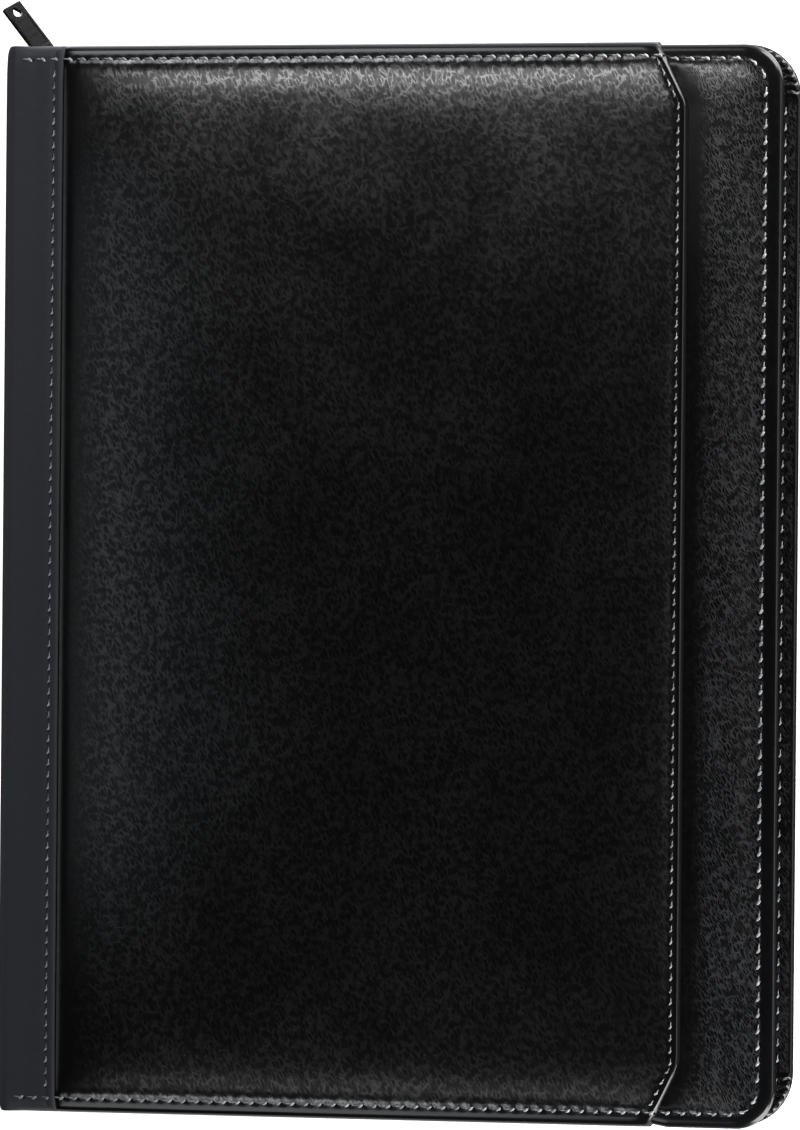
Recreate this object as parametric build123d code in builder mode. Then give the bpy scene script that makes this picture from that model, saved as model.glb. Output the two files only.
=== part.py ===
from build123d import *
from math import atan2, cos, degrees, radians, sin
import os

os.makedirs("parts", exist_ok=True)

# Closed case, in millimetres: it lies on its back cover at z = 0, with the spine
# at -X, the zip opening at +X, the zip pull at the +Y end and the front cover up.
case_thickness = 28.0
corner_radius = 13.0
back_corner_radius = 17.0

# Letter pad that the case is made round, and the room left beside it
pad_width = 216.0
pad_height = 298.0
pen_gutter = 26.0
pad_side_gap = 3.9
pad_end_gap = 10.9

# Sheet materials and how the leather is turned in round the boards
leather = 0.8
padding = 0.8
board = 1.8
lining = 0.5
turn_in = 10.0
edge_round = 1.8
fit = 0.1

# Spine: the smooth strip wraps from cover to cover and folds at two round bends
spine_bend = 4.0
spine_board = 1.2
spine_hem = 12.0
hinge_margin = 8.5
strip_width = 19.8
seam_lap = 7.0
lap_joint = 2.0

# Slip pocket on the front, open towards the zip side, with its two corners cut off
pocket_setback = 30.0
pocket_cut_x = 9.8
pocket_cut_y = 19.3
pocket_hem = 8.0
pocket_room = 0.2

# Zip chain: two tapes with corded edges, a row of moulded teeth on each
zip_inset = 8.0
tape = 0.6
tape_foot = 4.2
tape_start = 5.0
cord_width = 1.5
cord_height = 1.0
tooth_pitch = 3.0
tooth_base = 1.7
tooth_depth = 2.2
tooth_height = 2.2
tooth_taper = 7.0
row_gap = 1.3
stop_length = 3.0
front_row_start = 21.5
row_end = 9.0

# Slider: two flanged plates on a diamond post, with an arched bail for the pull
slider_place = 10.5
slider_length = 12.0
slider_corner = 1.5
slider_edge = 0.35
slider_plate = 1.1
slider_clearance = 0.25
slider_flange = 0.9
slider_slot = 1.2
post_length = 5.0
post_thickness = 0.8
bail_shift = -0.7
bail_inside = 2.8
bail_length = 8.0
bail_corner = 1.8
bail_bar = 1.2
bail_width = 1.1

# Pull tab: a bar with an eye round the bail and a teardrop hole at its tip
tab_width = 6.6
tab_thickness = 2.2
tab_reach = 20.4
tab_lean = 39.0
tab_roll = 43.0
tab_edge = 0.35
eye_length = 4.8
eye_width = 4.2
eye_wall = 0.9
eye_corner = 1.1
eye_thickness = 1.2
eye_step = 3.6
tip_hole = 1.4
tip_hole_point = 0.4
tip_hole_length = 2.0
tip_hole_edge = 3.4
tip_band = 4.3
tip_band_depth = 0.3
panel_margin = 0.9
panel_depth = 0.25
panel_start = 4.8

# Writing pad: sheets bound at the top, its card back tucked in a sleeve
pad_back = 0.8
pad_sheet_block = 5.4
binding = 0.4
binding_lap = 14.0
sleeve_panel = 0.7
sleeve_rim = 2.5
sleeve_reach = 129.0

# Organiser sewn to the inside of the front cover
pocket_panel = 0.6
document_room = 0.4
document_inset_x = 22.0
document_inset_y = 14.0
document_height = 249.5
document_slope = 30.0
sewn_rim = 3.0
card_width = 96.0
card_height = 92.0
card_step = 18.0
card_room = 0.3
card_count = 3
card_left = 32.0
card_foot = 22.0
window_width = 92.0
window_height = 62.0
window_border = 8.0
window_film = 0.3
window_gap = 10.0

# Elastic pen loop in the gutter beside the pad
pen_radius = 5.0
elastic = 0.6
pen_loop_length = 25.0
pen_loop_place = 15.0
pen_loop_foot = 12.0

cover_width = pen_gutter + pad_width + pad_side_gap + tape + zip_inset
cover_height = pad_height + 2 * (pad_end_gap + tape + zip_inset)
left = -cover_width / 2
right = cover_width / 2
top = cover_height / 2
seam_x = left + strip_width
stiff_x = left + hinge_margin
bend_x = left + spine_bend

core = padding + board
shell = core + 2 * leather
wrap = leather + fit
back_margin = shell
front_skin = case_thickness - 2 * leather - pocket_room
front_margin = front_skin - shell
front_depth = case_thickness - front_margin
floor = back_margin + lining
ceiling = front_margin - lining

zip_level = (back_margin + front_margin) / 2
tooth_foot = row_gap / 2 + tooth_height
cord_foot = tooth_foot + cord_height
wall_height = zip_level - back_margin - cord_foot
chain_inset = zip_inset + tape / 2
chain_y = top - chain_inset


def cover_outline(z, x_start, inset=0.0, half=top, radius=corner_radius):
    """Plan of a cover layer: square at the spine, rounded at the two free corners."""
    width = right - inset - x_start
    with BuildSketch(Plane.XY.offset(z)) as outline:
        with Locations((x_start + width / 2, 0)):
            Rectangle(width, 2 * (half - inset))
        fillet(outline.vertices().group_by(Axis.X)[-1], radius - inset)
    return outline.sketch


def chain_path(top_start, bottom_start, inset=chain_inset):
    """Route of the zip round three sides, from the pull end to the far end of the spine."""
    y = top - inset
    x = right - inset
    with BuildLine() as route:
        FilletPolyline((top_start, y), (x, y), (x, -y), (bottom_start, -y), radius=corner_radius - inset)
    return route.wire()


def chain_band(z, top_start, bottom_start, inset, width):
    """Plan of a strip of the given width that follows the zip's route."""
    with BuildSketch(Plane.XY.offset(z)) as band:
        trace(chain_path(top_start, bottom_start, inset), line_width=width)
    return band.sketch


def keep(piece, name):
    piece.label = name
    export_step(piece, f"parts/{name}.step")


def cover_leather(skin_z, inward, x_start, half=top, radius=corner_radius):
    """Outer leather of one cover: rolled over the board's edge and turned in behind it."""
    turned_z = skin_z + inward * (leather + core)
    with BuildPart() as hide:
        extrude(cover_outline(skin_z, x_start, half=half, radius=radius), amount=inward * shell)
        rims = hide.edges().group_by(Axis.Z)
        fillet(rims[0].sort_by(Axis.X)[1:] + rims[-1].sort_by(Axis.X)[1:], edge_round)
        inner = cover_outline(skin_z + inward * leather, x_start - leather, leather, half, radius)
        extrude(inner, amount=inward * core, mode=Mode.SUBTRACT)
        window = cover_outline(turned_z, x_start - leather, turn_in, half, radius)
        extrude(window, amount=inward * leather, mode=Mode.SUBTRACT)
    return hide.part


def cover_layer(z, inward, thickness, x_start, half=top, radius=corner_radius):
    """Flat sheet inside a cover, up to the turned leather."""
    with BuildPart() as sheet:
        extrude(cover_outline(z, x_start, leather, half, radius), amount=inward * thickness)
    return sheet.part


def cover_lining(margin_z, inward, half=top, radius=corner_radius):
    """Inside lining with the filler that levels the turned-in leather."""
    with BuildPart() as sheet:
        face = cover_outline(margin_z, stiff_x, zip_inset + tape + 4 * fit)
        extrude(face, amount=inward * lining)
        filler = cover_outline(margin_z - inward * leather, stiff_x, turn_in + fit, half, radius)
        extrude(filler, amount=inward * leather)
    return sheet.part


def wrapped_profile(x, outer_z, inward, depth, turned):
    """Section across a strip of leather that folds over a cover's top and bottom edges."""
    hollow = depth - (2 * leather if turned else leather)
    with BuildSketch(Plane.YZ.offset(x)) as profile:
        with Locations((0, outer_z + inward * depth / 2)):
            Rectangle(cover_height, depth)
        fillet(profile.vertices(), edge_round)
        with Locations((0, outer_z + inward * (leather + hollow / 2))):
            Rectangle(cover_height - 2 * leather, hollow, mode=Mode.SUBTRACT)
        if turned:
            with Locations((0, outer_z + inward * (depth - leather / 2))):
                Rectangle(cover_height - 2 * turn_in, leather, mode=Mode.SUBTRACT)
    return profile.sketch


def bend_section(*corners):
    """Part of the spine strip's C section that lies inside the given corners."""
    with BuildSketch(Plane.XZ) as section:
        with Locations((0, case_thickness / 2)):
            Rectangle(cover_width, case_thickness)
        fillet(section.vertices().group_by(Axis.X)[0], spine_bend)
        offset(amount=-leather, mode=Mode.SUBTRACT)
        Polygon(*corners, align=None, mode=Mode.INTERSECT)
    return section.sketch


def spine_strip(outer_z, inward, depth, turned):
    """Smooth strip on one cover, with its half of the round bend."""
    bend_z = outer_z + inward * spine_bend
    with BuildPart() as strip:
        extrude(bend_section((left, outer_z), (bend_x, bend_z), (bend_x, outer_z)), amount=top, both=True)
        extrude(wrapped_profile(bend_x, outer_z, inward, depth, turned), amount=seam_x - bend_x)
    return strip.part


def zip_tape(margin_z, inward, row_start):
    """Woven tape: a sewn foot on the cover, a standing wall and a corded edge."""
    start = left + tape_start
    foot_inset = zip_inset + (tape - tape_foot) / 2
    with BuildPart() as web:
        extrude(chain_band(margin_z, start, start, foot_inset, tape_foot + tape), amount=inward * tape)
        extrude(chain_band(margin_z, start, start, chain_inset, tape), amount=inward * wall_height)
        cord_z = margin_z + inward * wall_height
        cord = chain_band(cord_z, left + row_start, start, chain_inset, cord_width)
        extrude(cord, amount=inward * cord_height)
    return web.part


def row_places(row_start, phase):
    """Evenly spaced teeth along the chain, in step with the other row."""
    route = chain_path(left + row_start, left + row_end)
    first = (phase - row_start) % tooth_pitch + stop_length + tooth_base
    count = int((route.length - first - stop_length - tooth_base) // tooth_pitch) + 1
    places = []
    for index in range(count):
        along = first + index * tooth_pitch
        at = route.position_at(along, position_mode=PositionMode.LENGTH)
        way = route.tangent_at(along, position_mode=PositionMode.LENGTH)
        places.append(Location((at.X, at.Y, 0), (0, 0, degrees(atan2(way.Y, way.X)))))
    return places


def tooth_row(inward, row_start, phase):
    """Tapered teeth that stand on the tape's cord and face the other row."""
    with BuildPart() as teeth:
        with BuildSketch(Plane.XY.offset(zip_level - tooth_foot)):
            with Locations(*row_places(row_start, phase)):
                Rectangle(tooth_base, tooth_depth)
        extrude(amount=tooth_height, taper=tooth_taper)
    if inward > 0:
        return teeth.part
    return mirror(teeth.part, about=Plane.XY.offset(zip_level))


def row_stops(inward, starts):
    """Blocks that close the ends of a row of teeth."""
    with BuildPart() as stops:
        with BuildSketch(Plane.XY.offset(zip_level - inward * tooth_foot)):
            with Locations(*starts):
                Rectangle(stop_length, tooth_depth)
        extrude(amount=tooth_height, dir=(0, 0, inward))
    return stops.part


# Back cover: leather, padding, board, the strip's tail and the lining
back_hide = cover_leather(0.0, 1, seam_x + fit, radius=back_corner_radius)
with BuildPart() as back_leather:
    add(back_hide)
    with BuildSketch(Plane.XY.offset(leather)):
        with Locations((seam_x + (lap_joint - seam_lap) / 2, 0)):
            Rectangle(seam_lap + lap_joint, cover_height - 2 * wrap)
    extrude(amount=leather)
keep(back_leather.part, "back_leather")
back_foam = cover_layer(leather, 1, padding, seam_x + lap_joint + fit, radius=back_corner_radius)
keep(back_foam, "back_padding")
keep(cover_layer(leather + padding, 1, board, stiff_x, radius=back_corner_radius), "back_board")
keep(spine_strip(0.0, 1, back_margin, True), "back_spine_strip")
keep(cover_lining(back_margin, 1, radius=back_corner_radius), "back_lining")

# Spine wall between the two round bends
with BuildPart() as spine_leather:
    foot_bend = (bend_x, spine_bend)
    head_bend = (bend_x, case_thickness - spine_bend)
    extrude(bend_section((left, 0), foot_bend, head_bend, (left, case_thickness)), amount=top, both=True)
    with BuildSketch(Plane.YZ.offset(left + leather)):
        with Locations((0, case_thickness / 2)):
            with GridLocations(cover_height - spine_hem, 0, 2, 1):
                Rectangle(spine_hem, case_thickness - 2 * spine_bend)
    extrude(amount=leather)
keep(spine_leather.part, "spine_leather")

with BuildPart() as spine_stiffener:
    with BuildSketch(Plane.YZ.offset(left + leather)):
        with Locations((0, case_thickness / 2)):
            Rectangle(cover_height - 2 * (spine_hem + fit), case_thickness - 2 * spine_bend)
    extrude(amount=spine_board)
keep(spine_stiffener.part, "spine_board")

with BuildPart() as spine_lining:
    with BuildSketch(Plane.YZ.offset(left + leather + spine_board)):
        with Locations((0, case_thickness / 2)):
            Rectangle(cover_height - spine_hem, case_thickness - 2 * spine_bend)
    extrude(amount=lining)
keep(spine_lining.part, "spine_lining")

# Front cover: base leather, padding, board, strip, lining and the slip pocket on top
front_half = top - wrap
keep(cover_leather(front_skin, -1, stiff_x, front_half), "front_leather")
keep(cover_layer(front_skin - leather, -1, padding, stiff_x, front_half), "front_padding")
keep(cover_layer(front_skin - leather - padding, -1, board, stiff_x, front_half), "front_board")
keep(spine_strip(case_thickness, -1, front_depth, False), "front_spine_strip")
keep(cover_lining(front_margin, -1, front_half), "front_lining")

pocket_x = right - pocket_setback
pocket_start = seam_x + fit
cut_y = top - pocket_cut_y
with BuildPart() as front_pocket:
    panel = wrapped_profile(pocket_start, case_thickness, -1, front_depth, False)
    extrude(panel, amount=pocket_x - pocket_start)
    with BuildSketch(Plane.XY.offset(case_thickness)):
        for end in (1, -1):
            cut_start = (pocket_x - pocket_cut_x, end * top)
            Polygon(cut_start, (pocket_x, end * cut_y), (pocket_x, end * top), align=None)
    extrude(amount=-front_depth, mode=Mode.SUBTRACT)
    with BuildSketch(Plane.XY.offset(case_thickness - leather)):
        upper = [(pocket_x - pocket_cut_x, top), (pocket_x, cut_y)]
        lower = [(x, -y) for x, y in reversed(upper)]
        outer = upper + lower
        folded = [(x - pocket_hem, y) for x, y in reversed(outer)]
        Polygon(*outer, *folded, align=None)
        Rectangle(cover_width, 2 * front_half, mode=Mode.INTERSECT)
        with Locations((seam_x + (lap_joint - seam_lap) / 2, 0)):
            Rectangle(seam_lap + lap_joint, 2 * front_half)
    extrude(amount=-leather)
keep(front_pocket.part, "front_pocket")

# Zip tapes, teeth and stops
keep(zip_tape(back_margin, 1, tape_start), "back_zip_tape")
keep(zip_tape(front_margin, -1, front_row_start), "front_zip_tape")
keep(tooth_row(1, tape_start, 0.0), "back_zip_teeth")
keep(tooth_row(-1, front_row_start, tooth_pitch / 2), "front_zip_teeth")
far_stop = (left + row_end - stop_length / 2, -chain_y)
near_stop = (left + front_row_start + stop_length / 2, chain_y)
keep(row_stops(1, [far_stop]), "back_zip_stop")
keep(row_stops(-1, [far_stop, near_stop]), "front_zip_stops")

# Slider: the outer plate faces +Y, and the tapes run in the slots between its flanges
slider_x = left + slider_place
slider_gap = tooth_depth / 2 + slider_clearance
channel = cord_foot + slider_clearance
slider_height = 2 * (channel + slider_flange)
slider_plane = Plane(origin=(slider_x, chain_y, zip_level), x_dir=(1, 0, 0), z_dir=(0, 1, 0))
slider_face = chain_y + slider_gap + slider_plate
bail_x = slider_x + bail_shift
with BuildPart() as slider_body:
    for side in (1, -1):
        with BuildSketch(slider_plane.offset(side * slider_gap)):
            RectangleRounded(slider_length, slider_height, slider_corner)
        extrude(amount=side * slider_plate)
        outer_face = slider_body.faces().sort_by(Axis((0, 0, 0), (0, side, 0)))[-1]
        chamfer(outer_face.edges(), slider_edge)
        with BuildSketch(slider_plane.offset(side * slider_slot / 2)):
            with GridLocations(0, 2 * channel + slider_flange, 1, 2):
                Rectangle(slider_length - 2 * slider_corner, slider_flange)
        extrude(amount=side * (slider_gap - slider_slot / 2))
    with BuildSketch(slider_plane.offset(-slider_gap)):
        post_x = slider_length / 2 - post_length
        post_y = post_thickness / 2
        middle = post_x + post_length / 2
        Polygon((post_x, 0), (middle, post_y), (post_x + post_length, 0), (middle, -post_y), align=None)
    extrude(amount=2 * slider_gap)
    with BuildSketch(Plane.XY.offset(zip_level - bail_width / 2)) as bail:
        with Locations((bail_x, slider_face)):
            Rectangle(bail_length + 2 * bail_bar, bail_inside + bail_bar, align=(Align.CENTER, Align.MIN))
        fillet(bail.vertices().group_by(Axis.Y)[-1], bail_corner)
        with Locations((bail_x, slider_face)):
            Rectangle(bail_length, bail_inside, align=(Align.CENTER, Align.MIN), mode=Mode.SUBTRACT)
    extrude(amount=bail_width)
keep(slider_body.part, "slider_body")

# Pull tab, leaning towards the spine and twisted on the bail as it hangs
lean = radians(tab_lean)
roll = radians(tab_roll)
pivot = (bail_x, slider_face + bail_inside + bail_bar / 2, zip_level)
across = (cos(lean) * cos(roll), sin(lean) * cos(roll), -sin(roll))
facing = (cos(lean) * sin(roll), sin(lean) * sin(roll), cos(roll))
tab_plane = Plane(origin=pivot, x_dir=across, z_dir=facing)
eye_end = eye_length / 2 + eye_wall
with BuildPart() as pull_tab:
    with BuildSketch(tab_plane.offset(-tab_thickness / 2)):
        Circle(eye_end)
        with Locations((0, (eye_length + tab_reach) / 2)):
            Rectangle(tab_width, tab_reach - eye_length)
        make_hull()
    extrude(amount=tab_thickness)
    broad = pull_tab.faces().sort_by(Axis(pivot, facing))
    chamfer(broad[0].edges() + broad[-1].edges(), tab_edge)
    for side in (1, -1):
        with BuildSketch(tab_plane.offset(side * tab_thickness / 2)):
            with Locations((0, eye_step)):
                Rectangle(tab_width, 2 * tab_width, align=(Align.CENTER, Align.MAX))
        extrude(amount=-side * (tab_thickness - eye_thickness) / 2, mode=Mode.SUBTRACT)
        with BuildSketch(tab_plane.offset(side * tab_thickness / 2)):
            with Locations((0, tab_reach - tip_band)):
                Rectangle(tab_width, tip_band, align=(Align.CENTER, Align.MIN))
        extrude(amount=-side * tip_band_depth, mode=Mode.SUBTRACT)
        with BuildSketch(tab_plane.offset(side * tab_thickness / 2)):
            panel_end = tab_reach - tip_band - panel_margin
            with Locations((0, (panel_start + panel_end) / 2)):
                Rectangle(tab_width - 2 * panel_margin, panel_end - panel_start)
        extrude(amount=-side * panel_depth, mode=Mode.SUBTRACT)
    with BuildSketch(tab_plane.offset(-tab_thickness / 2)):
        RectangleRounded(eye_width, eye_length, eye_corner)
    extrude(amount=tab_thickness, mode=Mode.SUBTRACT)
    with BuildSketch(tab_plane.offset(-tab_thickness / 2)):
        with Locations((0, tab_reach - tip_hole_edge)):
            Circle(tip_hole)
        with Locations((0, tab_reach - tip_hole_edge + tip_hole_length)):
            Circle(tip_hole_point)
        make_hull()
    extrude(amount=tab_thickness, mode=Mode.SUBTRACT)
keep(pull_tab.part, "pull_tab")

# Writing pad and the sleeve that holds its card back
pad_right = right - zip_inset - tape - pad_side_gap
pad_x = pad_right - pad_width / 2
sheet_z = floor + pad_back
pad_top = sheet_z + pad_sheet_block
sleeve_z = sheet_z + fit
sleeve_face = sleeve_z + sleeve_panel
sleeve_foot = -pad_height / 2 - sleeve_rim
sleeve_length = sleeve_reach + sleeve_rim
with BuildPart() as pad_backing:
    with BuildSketch(Plane.XY.offset(floor)):
        with Locations((pad_x, 0)):
            Rectangle(pad_width, pad_height)
    extrude(amount=pad_back)
keep(pad_backing.part, "pad_backing")

with BuildPart() as pad_sheets:
    with BuildSketch(Plane.XY.offset(sheet_z)):
        with Locations((pad_x, 0)):
            Rectangle(pad_width, pad_height)
    extrude(amount=pad_sheet_block)
    with BuildSketch(Plane.XY.offset(sheet_z)):
        with Locations((pad_x, sleeve_reach - pad_height / 2 + fit)):
            Rectangle(2 * pad_width, pad_height, align=(Align.CENTER, Align.MAX))
    extrude(amount=sleeve_face + fit - sheet_z, mode=Mode.SUBTRACT)
keep(pad_sheets.part, "pad_sheets")

with BuildPart() as pad_binding:
    with BuildSketch(Plane.YZ.offset(pad_x - pad_width / 2)):
        with Locations((pad_height / 2 + binding, pad_top + binding)):
            Rectangle(binding_lap, binding, align=(Align.MAX, Align.MAX))
            Rectangle(binding, pad_top + binding - floor, align=(Align.MAX, Align.MAX))
    extrude(amount=pad_width)
keep(pad_binding.part, "pad_binding")

with BuildPart() as pad_sleeve:
    with BuildSketch(Plane.XY.offset(floor)):
        with Locations((pad_x, sleeve_foot)):
            Rectangle(pad_width + 2 * sleeve_rim, sleeve_length, align=(Align.CENTER, Align.MIN))
    extrude(amount=sleeve_face - floor)
    with BuildSketch(Plane.XY.offset(floor)):
        with Locations((pad_x, -pad_height / 2 - fit)):
            Rectangle(pad_width + 2 * fit, pad_height, align=(Align.CENTER, Align.MIN))
    extrude(amount=sleeve_z - floor, mode=Mode.SUBTRACT)
keep(pad_sleeve.part, "pad_sleeve")

# Pen loop: an elastic tube on a sewn foot
pen_x = left + pen_loop_place
with BuildPart() as pen_loop:
    with BuildSketch(Plane.XZ):
        with Locations((pen_x, floor + elastic + pen_radius)):
            Circle(pen_radius + elastic)
        with Locations((pen_x, floor)):
            Rectangle(pen_loop_foot, elastic, align=(Align.CENTER, Align.MIN))
        with Locations((pen_x, floor + elastic + pen_radius)):
            Circle(pen_radius, mode=Mode.SUBTRACT)
    extrude(amount=pen_loop_length / 2, both=True)
keep(pen_loop.part, "pen_loop")

# Organiser: a document pocket with a sloping mouth, stepped card pockets, a window pocket
document_left = left + document_inset_x
document_right = right - zip_inset - document_inset_y / 2
document_width = document_right - document_left
document_foot = -top + document_inset_y
document_top = document_foot + document_height
document_face = ceiling - document_room - pocket_panel
with BuildPart() as document_pocket:
    with BuildSketch(Plane.XY.offset(ceiling)):
        foot_corners = [(document_left, document_foot), (document_right, document_foot)]
        mouth_corners = [(document_right, document_top - document_slope), (document_left, document_top)]
        Polygon(*foot_corners, *mouth_corners, align=None)
    extrude(amount=document_face - ceiling)
    with BuildSketch(Plane.XY.offset(ceiling)):
        with Locations((document_left + document_width / 2, document_foot + sewn_rim)):
            Rectangle(document_width - 2 * sewn_rim, cover_height, align=(Align.CENTER, Align.MIN))
    extrude(amount=-document_room, mode=Mode.SUBTRACT)
keep(document_pocket.part, "document_pocket")

card_layer = pocket_panel + card_room
card_x = document_left + card_left - document_inset_x / 2 + card_width / 2
card_y = document_foot + card_foot
for index in range(card_count):
    back_z = document_face - index * card_layer
    reach = card_height - index * card_step
    with BuildPart() as card_pocket:
        with BuildSketch(Plane.XY.offset(back_z)):
            with Locations((card_x, card_y)):
                Rectangle(card_width, reach, align=(Align.CENTER, Align.MIN))
        extrude(amount=-card_layer)
        with BuildSketch(Plane.XY.offset(back_z)):
            with Locations((card_x, card_y + sewn_rim)):
                Rectangle(card_width - 2 * sewn_rim, reach, align=(Align.CENTER, Align.MIN))
        extrude(amount=-card_room, mode=Mode.SUBTRACT)
    keep(card_pocket.part, f"card_pocket_{index + 1}")

window_x = card_x + (card_width + window_width) / 2 + window_gap
with BuildPart() as window_frame:
    with BuildSketch(Plane.XY.offset(document_face)):
        with Locations((window_x, card_y)):
            Rectangle(window_width, window_height, align=(Align.CENTER, Align.MIN))
    extrude(amount=-(pocket_panel + window_film))
    with BuildSketch(Plane.XY.offset(document_face)):
        with Locations((window_x, card_y + window_border / 2)):
            film_width = window_width - window_border
            film_height = window_height - window_border
            Rectangle(film_width, film_height, align=(Align.CENTER, Align.MIN))
    extrude(amount=-window_film, mode=Mode.SUBTRACT)
    with BuildSketch(Plane.XY.offset(document_face)):
        with Locations((window_x, card_y + window_border)):
            light_width = window_width - 2 * window_border
            light_height = window_height - 2 * window_border
            Rectangle(light_width, light_height, align=(Align.CENTER, Align.MIN))
    extrude(amount=-(pocket_panel + window_film), mode=Mode.SUBTRACT)
keep(window_frame.part, "window_frame")

with BuildPart() as window_sheet:
    with BuildSketch(Plane.XY.offset(document_face)):
        with Locations((window_x, card_y + window_border / 2)):
            Rectangle(film_width, film_height, align=(Align.CENTER, Align.MIN))
    extrude(amount=-window_film)
keep(window_sheet.part, "window_film")
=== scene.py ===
import bpy
import bmesh
import math
from mathutils import Matrix, Vector, noise
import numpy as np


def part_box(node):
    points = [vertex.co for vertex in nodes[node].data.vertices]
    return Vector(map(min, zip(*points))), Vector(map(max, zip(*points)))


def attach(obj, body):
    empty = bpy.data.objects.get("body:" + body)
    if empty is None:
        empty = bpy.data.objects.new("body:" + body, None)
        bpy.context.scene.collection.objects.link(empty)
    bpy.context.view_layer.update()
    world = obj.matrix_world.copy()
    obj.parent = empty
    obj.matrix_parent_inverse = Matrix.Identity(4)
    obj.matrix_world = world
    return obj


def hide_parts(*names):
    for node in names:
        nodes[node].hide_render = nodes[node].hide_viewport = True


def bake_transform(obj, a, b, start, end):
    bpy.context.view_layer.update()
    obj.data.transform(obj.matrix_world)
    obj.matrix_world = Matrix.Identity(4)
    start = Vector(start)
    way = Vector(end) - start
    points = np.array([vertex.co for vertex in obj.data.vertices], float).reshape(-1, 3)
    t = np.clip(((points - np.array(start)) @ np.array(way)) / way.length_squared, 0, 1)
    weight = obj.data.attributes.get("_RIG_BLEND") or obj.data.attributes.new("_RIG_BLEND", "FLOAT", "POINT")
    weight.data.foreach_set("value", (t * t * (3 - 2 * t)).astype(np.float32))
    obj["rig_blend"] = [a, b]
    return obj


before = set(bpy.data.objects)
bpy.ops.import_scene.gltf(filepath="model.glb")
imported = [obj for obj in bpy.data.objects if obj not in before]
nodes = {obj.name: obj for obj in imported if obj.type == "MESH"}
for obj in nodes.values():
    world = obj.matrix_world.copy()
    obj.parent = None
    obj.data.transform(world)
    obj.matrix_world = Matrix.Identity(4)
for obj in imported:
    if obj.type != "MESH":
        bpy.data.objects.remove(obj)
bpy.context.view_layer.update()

# Front cover leather: black grained hide stretched over foam and board, rolled round the
# edge, turned in behind and gathered into pleats at the two round corners.
MM = 0.001
low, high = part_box("front_leather")
back_low, back_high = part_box("back_leather")
right_x = high.x / MM
half_height = back_high.y / MM
base_half = high.y / MM
base_top = high.z / MM
pocket_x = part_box("front_pocket")[1].x / MM
cut_x, cut_y = 9.8, 19.3
corner = 13.0
hidden_step = 4.0
edge_pitch = 5.0
edge_groove = 4.5
side_shift = 0.9
turned_groove = 4.9
smooth_rim = 3.9
rim_grain = 0.06
cut_round = 0.16
puff_height, puff_reach = 1.1, 7.0
pleat_count, pleat_height = 8.5, 1.0
edge_roll = [
    (11.0, 0.0), (8.8, 0.0), (7.4, -0.01), (6.4, -0.04), (5.5, -0.12), (4.9, -0.24),
    (4.5, -0.34), (4.1, -0.42), (3.5, -0.54), (2.9, -0.66), (2.3, -0.8), (1.8, -0.95),
    (1.4, -1.12), (1.05, -1.32), (0.8, -1.48), (0.5, -1.8), (0.25, -2.15), (0.08, -2.55),
    (0.0, -2.9), (0.06, -3.18), (0.25, -3.48), (0.6, -3.76), (1.1, -3.97), (1.8, -4.13),
    (2.6, -4.2), (3.4, -4.2), (4.0, -4.2), (4.6, -4.1), (4.9, -4.02), (5.2, -4.1),
    (6.0, -4.2), (8.0, -4.2), (10.0, -4.2),
]


def clamp(value):
    """The value held between 0 and 1."""
    return min(max(value, 0.0), 1.0)


def spread(start, end, step):
    """Evenly spaced places from start to end, both included."""
    count = max(round(abs(end - start) / step), 1)
    return [start + (end - start) * i / count for i in range(count + 1)]


def waves(x, y, seed, size=46.0):
    """Slow unevenness of hide over foam, from -1 to 1."""
    return noise.noise(Vector((x / size, y / size, seed)))


def cut_back(y):
    """How far the slip pocket's open edge is cut back at a height, the cut's corner rounded off."""
    ramp = (abs(y) - half_height + cut_y) / cut_y
    if ramp > cut_round:
        return cut_x * min(ramp, 1.0)
    return cut_x * (max(ramp + cut_round, 0.0) ** 2 / (4 * cut_round))


def puff(inset):
    """How far the foam lifts the front's leather, growing inwards from a seam."""
    return puff_height * (1 - math.exp(-max(inset - edge_groove, 0.0) / puff_reach))


def sewn_dip(inset, groove, along, pitch):
    """Needle holes in a seam's groove and the gathers beside it, holes at whole pitches."""
    wave = math.cos(2 * math.pi * along / pitch)
    hole = max(wave, 0.0) ** 2 * math.exp(-((inset - groove) / 0.6) ** 2)
    gather = wave * math.exp(-((inset - groove - 1.4) / 1.0) ** 2)
    return -0.2 * hole - 0.09 * gather


def finish_piece(bm, name, *materials, smooth=True):
    """Turns a bmesh in millimetres into an object in metres at the origin."""
    bmesh.ops.scale(bm, vec=(MM, MM, MM), verts=bm.verts)
    for face in bm.faces:
        face.smooth = smooth
    mesh = bpy.data.meshes.new(name)
    bm.to_mesh(mesh)
    bm.free()
    piece = bpy.data.objects.new(name, mesh)
    bpy.context.scene.collection.objects.link(piece)
    for material in materials:
        piece.data.materials.append(material)
    return piece


def run_edges(bm, edges, way, distance, step):
    """Pulls a row of edges along in equal steps and gives the last row."""
    count = max(round(distance / step), 1)
    way = Vector(way)
    for _ in range(count):
        made = bmesh.ops.extrude_edge_only(bm, edges=edges)["geom"]
        moved = [g for g in made if isinstance(g, bmesh.types.BMVert)]
        bmesh.ops.translate(bm, vec=way * distance / count, verts=moved)
        ends = set(moved)
        edges = [g for g in made if isinstance(g, bmesh.types.BMEdge) and set(g.verts) <= ends]
    return edges


def turn_edges(bm, edges, centre, corner_steps=40):
    """Swings a row of edges round a cover's corner and gives the last row."""
    ends = list({v for e in edges for v in e.verts})
    swung = bmesh.ops.spin(bm, geom=ends + edges, cent=centre, axis=(0, 0, -1), dvec=(0, 0, 0),
                           angle=math.pi / 2, steps=corner_steps, use_merge=False,
                           use_duplicate=False)
    return [g for g in swung["geom_last"] if isinstance(g, bmesh.types.BMEdge)]


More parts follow.
